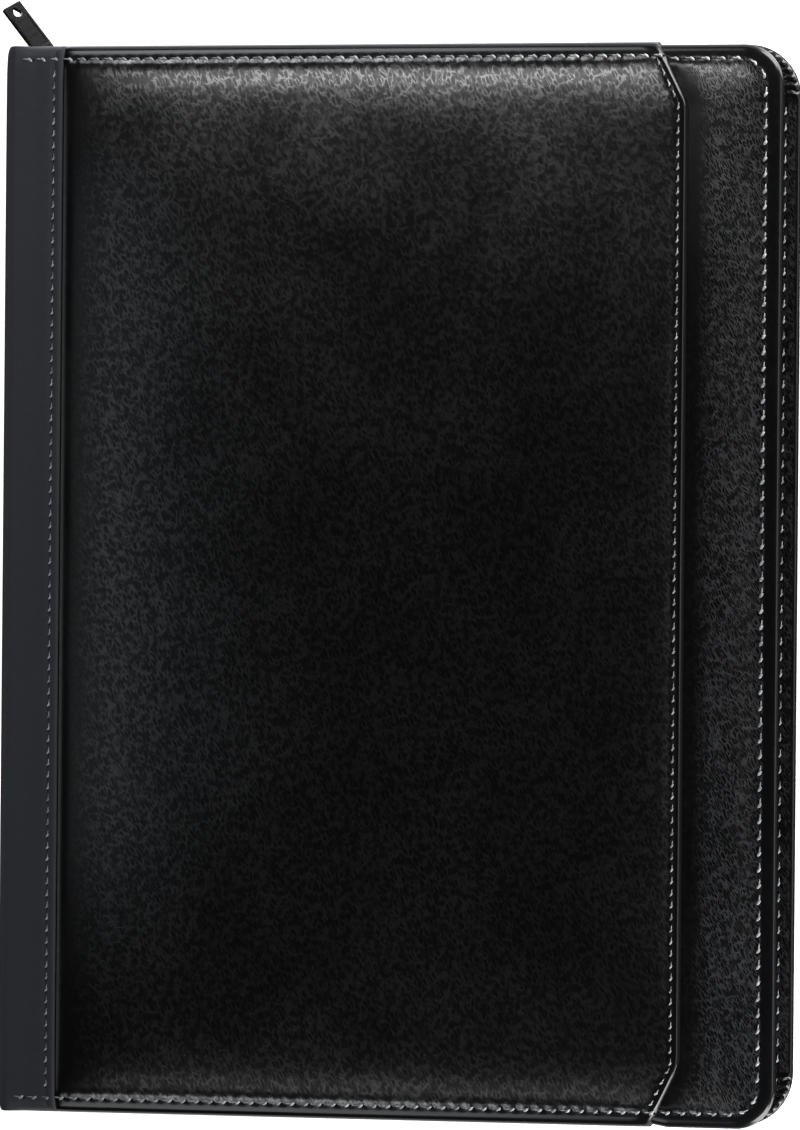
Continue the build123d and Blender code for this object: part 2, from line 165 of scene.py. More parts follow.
def laid_grid(bm, columns, rows, z):
    """A flat grid of faces on the given columns and rows."""
    count_x, count_y = len(columns) - 1, len(rows) - 1
    made = bmesh.ops.create_grid(bm, x_segments=count_x, y_segments=count_y, size=0.5)
    for v in made["verts"]:
        x = columns[round((v.co.x + 0.5) * count_x)]
        y = rows[round((v.co.y + 0.5) * count_y)]
        v.co = (x, y, z)


def pleat(over_x, over_y, inset):
    """Height of the gathered leather on the turned-in side of a round corner."""
    turn = math.atan2(over_y, over_x) / (math.pi / 2)
    fold = abs(math.sin(turn * math.pi * pleat_count + 0.6 * math.sin(1.4 * inset)))
    reach = clamp((inset - 0.2) / 1.0) * clamp((10.5 - inset) / 4.0)
    reach *= clamp(min(turn, 1 - turn) / 0.05)
    drawn_in = 1 - 0.75 * math.exp(-((inset - turned_groove) / 0.6) ** 2)
    return pleat_height * reach * drawn_in * (fold ** 0.8 - 0.6)


def cover_skin(x_start, fine_x, half, face_z, out, radius, step, turns):
    """Leather of one cover: the rolled rim on three sides and the face inside it."""
    bm = bmesh.new()
    grain = bm.verts.layers.float.new("grain")
    profile = [(radius, 0.0)] + edge_roll
    row = [bm.verts.new((x_start, half - inset, face_z + out * depth)) for inset, depth in profile]
    edges = [bm.edges.new(pair) for pair in zip(row, row[1:])]
    end_x, end_y = right_x - radius, half - radius
    edges = run_edges(bm, edges, (1, 0, 0), fine_x - x_start, hidden_step)
    edges = run_edges(bm, edges, (1, 0, 0), end_x - fine_x, step)
    edges = turn_edges(bm, edges, (end_x, end_y, 0), turns)
    edges = run_edges(bm, edges, (0, -1, 0), 2 * end_y, step)
    edges = turn_edges(bm, edges, (end_x, -end_y, 0), turns)
    edges = run_edges(bm, edges, (-1, 0, 0), end_x - fine_x, step)
    run_edges(bm, edges, (-1, 0, 0), fine_x - x_start, hidden_step)
    columns = spread(x_start, fine_x, hidden_step) + spread(fine_x, end_x, step)[1:]
    laid_grid(bm, columns, spread(-end_y, end_y, step), face_z)
    bmesh.ops.remove_doubles(bm, verts=bm.verts, dist=0.002)
    bmesh.ops.recalc_face_normals(bm, faces=bm.faces)
    for v in bm.verts:
        x, y, z = v.co
        over_x, over_y = x - end_x, abs(y) - end_y
        at_corner = over_x > 0 and over_y > 0
        inset = min(right_x - x, half - abs(y))
        if at_corner:
            inset = radius - math.hypot(over_x, over_y)
        if out * (z - face_z) < -3.0:
            v[grain] = 0.05 if at_corner or inset < 1.2 else 0.7
            if at_corner:
                v.co.z -= out * pleat(over_x, over_y, inset)
            continue
        v[grain] = rim_grain if inset < smooth_rim else 1.0
        lift = 0.08 * clamp((inset - 5.0) / 14.0) * (waves(x, y, 3.0 + out) - 1)
        if out > 0:
            lift += 0.6 * puff(inset)
        if not at_corner:
            along = x if half - abs(y) < right_x - x else y
            lift += sewn_dip(inset, edge_groove, along, edge_pitch)
        v.co.z += out * (lift if out > 0 else min(lift, 0.0))
        on_side = clamp((x - end_x) / 4) * clamp((inset - 0.6) / 2.4) * clamp((11 - inset) / 4)
        v.co.x -= side_shift * on_side
    return bm


def new_look(name):
    """A fresh material with its node tree and its surface shader."""
    look = bpy.data.materials.new(name)
    look.use_nodes = True
    return look, look.node_tree, look.node_tree.nodes["Principled BSDF"]


def leather_look(name, colour, crease_highlight_colour, roughness, crease, relief, gloss):
    """Hide with fine drawn-out creases (across, along, line width) painted lighter as highlights; grain
    fades them on rims.
    """
    look, tree, skin = new_look(name)
    add, join = tree.nodes.new, tree.links.new
    where = add("ShaderNodeTexCoord")

    def cloud(size, detail):
        made = add("ShaderNodeTexNoise")
        made.inputs["Scale"].default_value = 1 / (size * MM)
        made.inputs["Detail"].default_value = detail
        join(where.outputs["Object"], made.inputs["Vector"])
        return made

    def remap(source, from_range, to_range):
        made = add("ShaderNodeMapRange")
        made.interpolation_type = "SMOOTHSTEP"
        made.inputs["From Min"].default_value, made.inputs["From Max"].default_value = from_range
        made.inputs["To Min"].default_value, made.inputs["To Max"].default_value = to_range
        join(source, made.inputs["Value"])
        return made.outputs[0]

    def combine(kind, first, second):
        made = add("ShaderNodeMath")
        made.operation = kind
        for socket, source in zip(made.inputs, (first, second)):
            if isinstance(source, float):
                socket.default_value = source
            else:
                join(source, socket)
        return made.outputs[0]

    drift = add("ShaderNodeVectorMath")
    drift.operation = "MULTIPLY_ADD"
    drift.inputs[1].default_value = (1.7 * MM, 1.7 * MM, 1.7 * MM)
    join(cloud(7.0, 4.0).outputs["Color"], drift.inputs[0])
    join(where.outputs["Object"], drift.inputs[2])

    def creases(across, along, turn, width):
        lay = add("ShaderNodeMapping")
        lay.vector_type = "TEXTURE"
        lay.inputs["Rotation"].default_value = (0, 0, math.radians(turn))
        lay.inputs["Scale"].default_value = (across * MM, along * MM, across * MM)
        join(drift.outputs[0], lay.inputs["Vector"])
        cells = add("ShaderNodeTexVoronoi")
        cells.feature = "DISTANCE_TO_EDGE"
        cells.inputs["Scale"].default_value = 1
        join(lay.outputs[0], cells.inputs["Vector"])
        return remap(cells.outputs["Distance"], (0.0, width), (1.0, 0.0))

    net = creases(crease[0], crease[1], 28, crease[2])
    folds = creases(crease[0] * 1.7, crease[1] * 3.2, 30, 0.07)
    broken = remap(cloud(2.4, 2.0).outputs["Fac"], (0.34, 0.62), (0.2, 0.95))
    drawn = remap(cloud(7.0, 1.0).outputs["Fac"], (0.48, 0.62), (0.0, 1.0))
    net = combine("MULTIPLY", net, broken)
    folds = combine("MULTIPLY", folds, drawn)
    lines = combine("MAXIMUM", net, folds)
    mark = add("ShaderNodeAttribute")
    mark.attribute_name = "grain"
    patches = cloud(34.0, 2.0).outputs["Fac"]
    worn = remap(patches, (0.3, 0.7), (0.8, 1.0))
    strength = combine("MULTIPLY", mark.outputs["Fac"], worn)
    seen = combine("MULTIPLY", lines, strength)
    # Crease lines painted lighter than the hide: a painted highlight for crease walls catching the light.
    crease_highlight_mix = add("ShaderNodeMix")
    crease_highlight_mix.data_type = "RGBA"
    crease_highlight_mix.inputs["A"].default_value = (*colour, 1)
    crease_highlight_mix.inputs["B"].default_value = (*crease_highlight_colour, 1)
    join(seen, crease_highlight_mix.inputs["Factor"])
    join(crease_highlight_mix.outputs["Result"], skin.inputs["Base Color"])
    join(remap(seen, (0.0, 1.0), gloss), skin.inputs["Specular IOR Level"])
    pores = combine("MULTIPLY", cloud(0.5, 2.0).outputs["Fac"], 0.12)
    height = combine("SUBTRACT", combine("MULTIPLY", pores, strength), seen)
    bump = add("ShaderNodeBump")
    bump.inputs["Distance"].default_value = relief * MM
    join(height, bump.inputs["Height"])
    join(bump.outputs[0], skin.inputs["Normal"])
    rubbed = remap(patches, (0.3, 0.7), (-0.02, 0.02))
    dullness = remap(mark.outputs["Fac"], (0.0, 1.0), roughness)
    join(combine("ADD", dullness, rubbed), skin.inputs["Roughness"])
    return look


# The second colour paints highlights on the creases; the cover's are painted brighter than the pocket's, as
# painted light on the lit margin.
black_hide, cover_crease_highlight = (0.0022, 0.0023, 0.0026), (0.038, 0.0386, 0.041)
cover_leather = leather_look("cover_leather", black_hide, cover_crease_highlight, (0.2, 0.21),
                             (0.8, 2.7, 0.22), 0.01, (0.3, 1.0))
front_skin = cover_skin(low.x / MM, pocket_x - 24, base_half, base_top, 1,
                        corner, edge_pitch / 5, 40)
front_grain_and_hem_shade = front_skin.verts.layers.float["grain"]
for v in front_skin.verts:
    x, y, z = v.co
    edge_x = pocket_x - cut_back(y)
    clear = clamp((base_half - abs(y) - 4) / 5)
    pressed = math.exp(-max(x - edge_x, 0.0) / 4.5) * clamp((z - base_top + 2) / 2)
    v.co.z -= 0.45 * clear * pressed
    # Grain and its painted crease highlights fade out beside the pocket's hem: painted shade for the pocket
    # edge's shadow.
    v[front_grain_and_hem_shade] *= 0.1 + 0.9 * clamp((x - edge_x - 3) / 6)
    if y < 0:
        past_pocket = clamp((x - pocket_x + cut_x) / 5.0)
        v.co.y *= 1 + past_pocket * (half_height - base_half) / base_half
front_cover_leather = finish_piece(front_skin, "front_cover_leather", cover_leather)
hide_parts("front_leather", "front_padding")
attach(front_cover_leather, "front_cover")

# Back cover leather: the same hide on the back board; the case lies on it, and its
# turned-in edge shows past the front cover.
back_corner = 17.0
back_step = 2.4
back_skin = cover_skin(back_low.x / MM, back_low.x / MM + 8, half_height, 0.0, -1,
                       back_corner, back_step, 110)
back_cover_leather = finish_piece(back_skin, "back_cover_leather", cover_leather)
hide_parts("back_leather", "back_padding")
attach(back_cover_leather, "back_cover")

# Front slip pocket: one grained panel that covers most of the front, wrapped over the top
# and bottom edges with the cover and hemmed along its open side, its two corners cut off.
strip_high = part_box("front_spine_strip")[1]
seam_x = strip_high.x / MM
case_top = strip_high.z / MM
top_pitch = 4.5
top_groove = 4.5
hem_pitch = 3.75
hem_groove = 2.8
wrap_roll = [
    (13.0, 0.0), (10.0, 0.0), (8.4, -0.01), (7.2, -0.03), (6.2, -0.1), (5.5, -0.2),
    (4.9, -0.36), (4.5, -0.46), (4.1, -0.55), (3.4, -0.72), (2.7, -0.92), (2.1, -1.13),
    (1.55, -1.4), (1.1, -1.72), (0.72, -2.1), (0.42, -2.55), (0.2, -3.08), (0.06, -3.7),
    (0.0, -4.4), (0.08, -5.0), (0.35, -5.5), (0.8, -5.84), (1.5, -5.98), (2.6, -6.0),
]
hem_edge = [
    (12.0, 0.0), (8.0, 0.02), (6.4, 0.03), (5.0, 0.03), (4.0, 0.0), (3.3, -0.05), (2.8, -0.1),
    (2.2, -0.15), (1.7, -0.21), (1.3, -0.29), (1.0, -0.4), (0.75, -0.54), (0.55, -0.72),
    (0.38, -0.93), (0.24, -1.16), (0.12, -1.4), (0.04, -1.58), (0.0, -1.68), (0.3, -1.72),
    (1.2, -1.72), (8.0, -1.72),
]
# Lighter crease colour: a painted highlight on the pocket's creases.
pocket_crease_highlight = (0.0075, 0.0076, 0.0082)
grained_leather = leather_look("grained_leather", black_hide, pocket_crease_highlight, (0.19, 0.2),
                               (1.2, 2.9, 0.3), 0.008, (0.3, 1.0))


def across_rows(half, roll, step):
    """Rows of a panel that wraps over the top and bottom edges: place, depth, grain."""
    rim = []
    for inset, depth in roll:
        rim.append((half - inset, depth, rim_grain if inset < smooth_rim else 1.0))
    flat = [(y, 0.0, 1.0) for y in spread(-rim[0][0], rim[0][0], step)]
    return [(-y, d, g) for y, d, g in reversed(rim)] + flat[1:-1] + rim


def wrapped_sheet(rows, columns):
    """A flat cut laid over rows along Y and columns (x, z, normal x, normal z, wrap, grain)."""
    bm = bmesh.new()
    grain = bm.verts.layers.float.new("grain")
    count_x, count_y = len(columns) - 1, len(rows) - 1
    bmesh.ops.create_grid(bm, x_segments=count_x, y_segments=count_y, size=0.5)
    for v in bm.verts:
        x, z, nx, nz, wrap, mark = columns[round((v.co.x + 0.5) * count_x)]
        y, depth, edge_mark = rows[round((v.co.y + 0.5) * count_y)]
        v.co = (x + nx * depth * wrap, y, z + nz * depth * wrap)
        v[grain] = min(mark, edge_mark)
    return bm


pocket_start = seam_x - 1.5
panel_start = math.ceil((seam_x + 7) / top_pitch) * top_pitch
columns = [(x, case_top - 0.5 * math.exp(-max(x - seam_x, 0) / 1.6), 0, 1, 1, 0.25)
           for x in [pocket_start, seam_x - 0.5] + spread(seam_x, seam_x + 6, 0.75)]
columns += [(x, case_top, 0, 1, 1, 0.25 + 0.75 * clamp((x - seam_x - 5) / 12))
            for x in spread(panel_start, pocket_x - 13.5, top_pitch / 4)]
for inset, depth in hem_edge:
    columns.append((pocket_x - inset, case_top + depth, 0, 1, 1, 0.12 if inset < 2.6 else 1.0))


def pocket_lift(x, y):
    """How far the foam lifts the pocket's leather, less beside its hem and the spine strip."""
    beside_hem = math.exp(-max(pocket_x - 3 - x, 0.0) / 9.0)
    beside_strip = math.exp(-max(x - seam_x, 0.0) / 9.0)
    return puff(half_height - abs(y)) * (1 - 0.65 * min(beside_hem + beside_strip, 1.0))


bm = wrapped_sheet(across_rows(half_height, wrap_roll, hem_pitch / 3), columns)
for v in bm.verts:
    x, y, z = v.co
    outer = z > case_top - 1.4
    past = cut_back(y) + 0.1 * cut_x * clamp((abs(y) - half_height + 4.5) / 4.5)
    v.co.x -= past * clamp((x - pocket_x + 70) / 58)
    inset = half_height - abs(y)
    ease = clamp((inset - 5) / 14) * clamp((pocket_x - x - 4) / 14) * clamp((x - seam_x) / 10)
    v.co.z += 0.08 * ease * waves(x, y, 9.0) + pocket_lift(x, y) * clamp((z - case_top + 2) / 2)
    if outer:
        v.co.z += sewn_dip(inset, top_groove, v.co.x, top_pitch)
        v.co.z += sewn_dip(pocket_x - x, hem_groove, y, hem_pitch) * clamp((inset - 5) / 3)
front_pocket_panel = finish_piece(bm, "front_pocket_panel", grained_leather)
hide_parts("front_pocket")
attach(front_pocket_panel, "front_cover")

# Spine strip: smooth leather that runs from the front cover round the spine to the back,
# folded under along its two long edges; it bends at both edges of the spine wall.
# The second colour paints the crease lines lighter: a painted highlight.
slate_hide, slate_crease_highlight = (0.029, 0.0318, 0.0368), (0.035, 0.038, 0.0435)
smooth_leather = leather_look("smooth_leather", slate_hide, slate_crease_highlight, (0.42, 0.46),
                              (0.9, 1.2, 0.3), 0.02, (0.1, 0.12))
spine_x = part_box("spine_leather")[0].x / MM
spine_bend = 4.0
spine_wrap = 0.3
mid_spine = case_top / 2
strip_groove = 2.8
strip_puff = 0.35
strip_roll = [
    (13.0, 0.0), (10.0, -0.01), (8.0, -0.04), (6.5, -0.1), (5.4, -0.18), (4.4, -0.3),
    (3.6, -0.46), (2.9, -0.68), (2.2, -0.98), (1.6, -1.4), (1.05, -1.95), (0.6, -2.6),
    (0.25, -3.4), (0.05, -4.2), (0.02, -4.8), (0.2, -5.3), (0.6, -5.7), (1.4, -5.96),
    (2.6, -6.0),
]
fold_edge = [
    (0.05, -1.1), (-0.05, -0.6), (0.0, -0.2), (0.15, 0.12), (0.45, 0.36), (0.9, 0.46),
    (1.6, 0.42), (2.1, 0.24), (2.5, 0.06), (2.8, 0.0), (3.1, 0.06), (3.6, 0.2), (4.6, 0.24),
    (6.5, 0.12), (8.5, 0.0),
]


def strip_columns(side):
    """Section of the strip from its folded edge over a cover and bend to the mid spine."""
    face = case_top if side > 0 else 0.0
    proud = 1.0 if side > 0 else 0.0
    made = []
    for inset, rise in fold_edge:
        height = rise * proud if rise > 0 else rise
        made.append((seam_x - inset, face + side * height, 0, side, 1, 0.5))
    bend_start = spine_x + spine_bend
    made += [(x, face, 0, side, 1, 0.5) for x in spread(seam_x - 10, bend_start + 4.5, 1.2)]
    made += [(x, face, 0, side, spine_wrap + (1 - spine_wrap) * (x - bend_start) / 4.5, 0.5)
             for x in spread(bend_start + 3.4, bend_start + 0.4, 1.0)]
    for step in range(13):
        angle = math.radians(90 + 90 * step / 12)
        nx, nz = math.cos(angle), side * math.sin(angle)
        z = face - side * spine_bend + nz * spine_bend
        made.append((bend_start + nx * spine_bend, z, nx, nz, spine_wrap, 0.5))
    wall_start = face - side * (spine_bend + 1)
    made += [(spine_x, z, -1, 0, spine_wrap, 0.5) for z in spread(wall_start, mid_spine, 1.5)]
    return made


for side, name, cad in ((1, "spine_strip_front", ("front_spine_strip", "spine_leather")),
                        (-1, "spine_strip_back", ("back_spine_strip",))):
    roll = strip_roll if side > 0 else [(corner, 0.0)] + edge_roll
    bm = wrapped_sheet(across_rows(half_height, roll, hem_pitch / 3), strip_columns(side))
    if side > 0:
        for v in bm.verts:
            x, y, z = v.co
            inset = half_height - abs(y)
            v.co.z += strip_puff * puff(inset) * clamp((z - mid_spine) / 12)
            if z > case_top - 1.4:
                flat = clamp((x - spine_x - spine_bend) / 4)
                v.co.z += flat * sewn_dip(inset, top_groove, x, top_pitch)
                long_seam = sewn_dip(seam_x - x, strip_groove, y, hem_pitch)
                v.co.z += long_seam * clamp((inset - 5) / 3)
    bmesh.ops.recalc_face_normals(bm, faces=bm.faces)
    strip = finish_piece(bm, name, smooth_leather)
    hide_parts(*cad)
    face = case_top if side > 0 else 0.0
    cover = "front_cover" if side > 0 else "back_cover"
    start = Vector((spine_x + 8, 0, face)) * MM
    end = Vector((spine_x, 0, face - side * 8)) * MM
    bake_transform(strip, cover, "spine", start, end)

# Spine inside: a stiff wall covered in the lining cloth, with soft lining that bends with
# the leather between the wall and each cover's lining.
lining_cloth, cloth, cloth_skin = new_look("lining_cloth")
cloth_skin.inputs["Base Color"].default_value = (0.012, 0.012, 0.0135, 1)
cloth_skin.inputs["Roughness"].default_value = 0.82
cloth_skin.inputs["Specular IOR Level"].default_value = 0.25
cloth_where = cloth.nodes.new("ShaderNodeTexCoord")
cloth_turn = cloth.nodes.new("ShaderNodeMapping")
cloth_turn.inputs["Rotation"].default_value = (0, 0, math.radians(45))
cloth.links.new(cloth_where.outputs["Object"], cloth_turn.inputs["Vector"])
twill = cloth.nodes.new("ShaderNodeTexWave")
twill.inputs["Scale"].default_value = 260
twill.inputs["Distortion"].default_value = 0.4
cloth.links.new(cloth_turn.outputs[0], twill.inputs["Vector"])
cloth_bump = cloth.nodes.new("ShaderNodeBump")
cloth_bump.inputs["Distance"].default_value = 0.0002
cloth_bump.inputs["Strength"].default_value = 0.7
cloth.links.new(twill.outputs["Fac"], cloth_bump.inputs["Height"])
cloth.links.new(cloth_bump.outputs[0], cloth_skin.inputs["Normal"])


def block(bm, low_corner, high_corner):
    """Adds a block between two corners given in metres, and gives its size in millimetres."""
    size = (high_corner - low_corner) / MM
    place = Matrix.Translation((low_corner + high_corner) / 2 / MM) @ Matrix.Diagonal((*size, 1))
    bmesh.ops.create_cube(bm, size=1, matrix=place)
    return size


wall_low, wall_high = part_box("spine_lining")
bm = bmesh.new()
block(bm, wall_low, wall_high)
bmesh.ops.bevel(bm, geom=bm.edges[:], offset=0.2, offset_type="OFFSET", segments=2, profile=0.5,
                affect="EDGES", material=-1)
spine_wall_lining = finish_piece(bm, "spine_wall_lining", lining_cloth, smooth=False)
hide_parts("spine_lining")
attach(spine_wall_lining, "spine")

stiff_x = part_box("back_board")[0].x / MM
wall_x = wall_high.x / MM
for side, name, cover in ((1, "hinge_lining_front", "front_cover"),
                          (-1, "hinge_lining_back", "back_cover")):
    board_face = (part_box("front_lining")[0].z if side > 0 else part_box("back_lining")[1].z) / MM
    wall_edge = (wall_high.z if side > 0 else wall_low.z) / MM
    columns = []
    for step in range(15):
        t = step / 14
        x = stiff_x + 4.0 + (wall_x - stiff_x - 4.0) * t + 1.2 * math.sin(math.pi * t) * t
        z = board_face + side * 0.25 + (wall_edge - side * 5.0 - board_face) * t ** 3
        columns.append((x, z, 0, -side, 0, 1))
    rows = [(y, 0, 1) for y in spread(-(half_height - 9), half_height - 9, 3.0)]
    hinge = finish_piece(wrapped_sheet(rows, columns), name, lining_cloth)
    start = Vector((stiff_x + 1, 0, board_face)) * MM
    end = Vector((wall_x, 0, wall_edge - side * 3)) * MM
    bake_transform(hinge, cover, "spine", start, end)

# Cover linings: twill cloth glued over the boards inside the zip, level with the
# turned-in leather.
for name, cad, cover, side in (("front_cover_lining", "front_lining", "front_cover", -1),
                               ("back_cover_lining", "back_lining", "back_cover", 1)):
    lining_low, lining_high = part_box(cad)
    face = (lining_low.z if side < 0 else lining_high.z) / MM
    half, end_x = lining_high.y / MM, lining_high.x / MM
    bm = bmesh.new()
    laid_grid(bm, spread(lining_low.x / MM, end_x, 4.0), spread(-half, half, 4.0), face)
    for v in bm.verts:
        v.co.z -= side * 0.09 * (1 + waves(v.co.x, v.co.y, 21.0 + side))
        edge = min(end_x - v.co.x, half - abs(v.co.y))
        v.co.z -= side * 0.4 * max(0.0, 1 - edge / 1.5)
    lining = finish_piece(bm, name, lining_cloth)
    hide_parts(cad)
    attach(lining, cover)

# Boards and card: stiff greyboard in both covers and the spine, cut square and glued in
# behind the leather; the pad's back is the same card.
def pattern(tree, kind, scale):
    """A texture of the given kind, fixed to the piece."""
    where = tree.nodes.new("ShaderNodeTexCoord")
    made = tree.nodes.new(kind)
    made.inputs["Scale"].default_value = scale
    tree.links.new(where.outputs["Object"], made.inputs["Vector"])
    return made


def two_tones(tree, source, dark, light, socket, span=(0.0, 1.0)):
    """Colours a surface from dark to light by a texture."""
    ramp = tree.nodes.new("ShaderNodeValToRGB")
    for element, place, tone in zip(ramp.color_ramp.elements, span, (dark, light)):
        element.position = place
        element.color = (*tone, 1)
    tree.links.new(source, ramp.inputs["Fac"])
    tree.links.new(ramp.outputs["Color"], socket)


def dress(material, *names):
    """Puts a material on parts that keep their own shape."""
    for name in names:
        nodes[name].data.materials.clear()
        nodes[name].data.materials.append(material)


greyboard, pulp, pulp_skin = new_look("greyboard")
pulp_skin.inputs["Roughness"].default_value = 0.9
fibre = pattern(pulp, "ShaderNodeTexNoise", 600)
two_tones(pulp, fibre.outputs["Fac"], (0.2, 0.17, 0.13), (0.33, 0.29, 0.23),
          pulp_skin.inputs["Base Color"])
dress(greyboard, "front_board", "back_board", "spine_board", "pad_backing")

# Zip tapes: woven black tape, its foot sewn to the cover on three sides and its edge
# corded under the teeth.
woven_tape, weave, weave_skin = new_look("woven_tape")
weave_skin.inputs["Base Color"].default_value = (0.009, 0.009, 0.01, 1)
weave_skin.inputs["Roughness"].default_value = 0.75
ribs = pattern(weave, "ShaderNodeTexVoronoi", 1500)
weave_bump = weave.nodes.new("ShaderNodeBump")
weave_bump.inputs["Distance"].default_value = 0.00015
weave.links.new(ribs.outputs["Distance"], weave_bump.inputs["Height"])
weave.links.new(weave_bump.outputs[0], weave_skin.inputs["Normal"])
tape_foot = [(6.6, 0.0), (6.6, 0.45), (6.8, 0.6), (7.7, 0.6), (8.0, 0.85)]
tape_wall = [(8.0, 1.6), (8.0, 3.0), (8.0, 4.8)]
tape_cord = [(7.75, 5.05), (7.6, 5.25), (7.6, 5.8), (7.8, 6.0)]
tape_cord += [(8.8, 6.0), (9.0, 5.8), (9.0, 5.25), (8.85, 5.05)]
tape_back = [(8.6, 4.8), (8.6, 3.0), (8.6, 1.0), (8.6, 0.0)]
tape_step = 6.0
bare_height = 4.9
for name, cad, cover, up in (("front_tape", "front_zip_tape", "front_cover", -1),
                             ("back_tape", "back_zip_tape", "back_cover", 1)):
    tape_low, tape_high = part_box(cad)
    foot_z = (tape_high.z if up < 0 else tape_low.z) / MM
    start_x = tape_low.x / MM
    bm = bmesh.new()
    section = tape_foot + tape_wall + tape_cord + tape_back
    row = []
    for inset, rise in section:
        row.append(bm.verts.new((start_x, half_height - inset, foot_z + up * rise)))
    edges = [bm.edges.new(pair) for pair in zip(row, row[1:] + row[:1])]
    end_x, end_y = right_x - corner, half_height - corner
    edges = run_edges(bm, edges, (1, 0, 0), end_x - start_x, tape_step)
    edges = turn_edges(bm, edges, (end_x, end_y, 0))
    edges = run_edges(bm, edges, (0, -1, 0), 2 * end_y, tape_step)
    edges = turn_edges(bm, edges, (end_x, -end_y, 0))
    run_edges(bm, edges, (-1, 0, 0), end_x - start_x, tape_step)
    bmesh.ops.holes_fill(bm, edges=[e for e in bm.edges if e.is_boundary])
    if up < 0:
        bare_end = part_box("front_zip_stops")[1].x / MM - 3.0
        for v in bm.verts:
            if v.co.y > 0 and v.co.x < bare_end and foot_z - v.co.z > bare_height:
                v.co.z = foot_z - bare_height
                v.co.y = half_height - min(max(half_height - v.co.y, 8.0), 8.6)
    bmesh.ops.recalc_face_normals(bm, faces=bm.faces)
    tape = finish_piece(bm, name, woven_tape, smooth=False)
    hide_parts(cad)
    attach(tape, cover)

# Zip teeth and stops: black plastic moulded on the corded edge of each tape, with a
# longer stop where a row ends.
def noise_between(tree, scale, span, socket):
    """Lets fine noise vary a value of a surface between two ends."""
    ends = tree.nodes.new("ShaderNodeMapRange")
    ends.inputs["To Min"].default_value, ends.inputs["To Max"].default_value = span
    grit = pattern(tree, "ShaderNodeTexNoise", scale)
    tree.links.new(grit.outputs["Fac"], ends.inputs["Value"])
    tree.links.new(ends.outputs[0], socket)


moulded_teeth, tooth_tree, tooth_skin = new_look("moulded_teeth")
tooth_skin.inputs["Base Color"].default_value = (0.012, 0.012, 0.013, 1)
noise_between(tooth_tree, 900, (0.28, 0.45), tooth_skin.inputs["Roughness"])
dress(moulded_teeth, "front_zip_teeth", "back_zip_teeth", "front_zip_stops", "back_zip_stop")

# Zip slider and pull: die-cast metal under black lacquer; the slider runs on the teeth and
# the pull swings on its bail.
black_metal, metal_tree, metal_skin = new_look("black_metal")
metal_skin.inputs["Base Color"].default_value = (0.0045, 0.0045, 0.005, 1)
noise_between(metal_tree, 700, (0.2, 0.36), metal_skin.inputs["Roughness"])
dress(black_metal, "slider_body", "pull_tab")

# Seams: waxed grey thread in lock stitch; each stitch lies along the groove and slants
# down into its needle hole.
thread, thread_tree, thread_skin = new_look("seam_thread")
thread_skin.inputs["Roughness"].default_value = 0.38
twist = pattern(thread_tree, "ShaderNodeTexNoise", 420)
two_tones(thread_tree, twist.outputs["Fac"], (0.14, 0.143, 0.149), (0.38, 0.385, 0.395),
          thread_skin.inputs["Base Color"], (0.35, 0.65))
# Needle holes: a near-black disc at each stitch's end, painted shade inside the hole.
needle_hole_shade, hole_shade_tree, hole_shade_skin = new_look("needle_hole_shade")
hole_shade_skin.inputs["Specular IOR Level"].default_value = 0.1
noise_between(hole_shade_tree, 900, (0.001, 0.003), hole_shade_skin.inputs["Base Color"])


def stitch_places(path, pitch):
    """Middles of a path's stitches and the way they run; straight runs keep to whole pitches."""
    left_over = pitch / 2
    for a, b in zip(path, path[1:]):
        a, b = Vector(a), Vector(b)
        run = (b - a).length
        way = (b - a) / run
        if len(path) == 2 and max(abs(way.x), abs(way.y)) > 0.999:
            sign = way.x + way.y
            place = a.x if abs(way.x) > 0.5 else a.y
            left_over = (sign * (pitch / 2 - place)) % pitch
        at = left_over
        while at <= run:
            yield a + way * at, way
            at += pitch
        left_over = at - run


def seam(name, body, paths, pitch, size, lift=0.1, slant=-38.0, out=1):
    """Stitches of a size (length, width) along paths of points (x, y, z), riding on a body."""
    bm = bmesh.new()
    length, width = size
    for path in paths:
        for spot, way in stitch_places(path, pitch):
            angle = math.atan2(way.y, way.x)
            lay = Matrix.Translation((spot.x, spot.y, spot.z + out * lift))
            lay = lay @ Matrix.Rotation(angle, 4, "Z")
            tick = Matrix.Translation((0.2 * length, 0, 0))
            tick = tick @ Matrix.Rotation(math.radians(slant), 4, "Z")
            tick = tick @ Matrix.Diagonal((0.3 * length, width / 2, width / 2.4, 1))
            bmesh.ops.create_uvsphere(bm, u_segments=8, v_segments=5, radius=1, matrix=lay @ tick)
            tail = Matrix.Translation((-0.16 * length, 0.2 * width, 0))
            tail = tail @ Matrix.Rotation(math.radians(-6), 4, "Z")
            tail = tail @ Matrix.Diagonal((0.4 * length, width / 4, width / 4, 1))
            bmesh.ops.create_uvsphere(bm, u_segments=6, v_segments=4, radius=1, matrix=lay @ tail)
            # The needle hole is a flat dark disc: painted shade of the hole.
            hole = Matrix.Translation((0.5 * length, -0.1 * width, -0.5 * out * lift))
            hole = hole @ Matrix.Diagonal((0.55 * width, 0.42 * width, 1, 1))
            made = bmesh.ops.create_circle(bm, cap_ends=True, segments=8, radius=1,
                                           matrix=lay @ hole)
            for face in {f for v in made["verts"] for f in v.link_faces}:
                face.material_index = 1
                if face.normal.z * out < 0:
                    face.normal_flip()
    stitches = finish_piece(bm, name, thread, needle_hole_shade)
    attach(stitches, body)
    return stitches


def seam_arc(centre_x, centre_y, radius, start, end, place):
    """Short runs round a cover's corner, each point put at its height by place."""
    turns = [math.radians(a) for a in spread(start, end, 9)]
    return [place(centre_x + radius * math.cos(a), centre_y + radius * math.sin(a)) for a in turns]


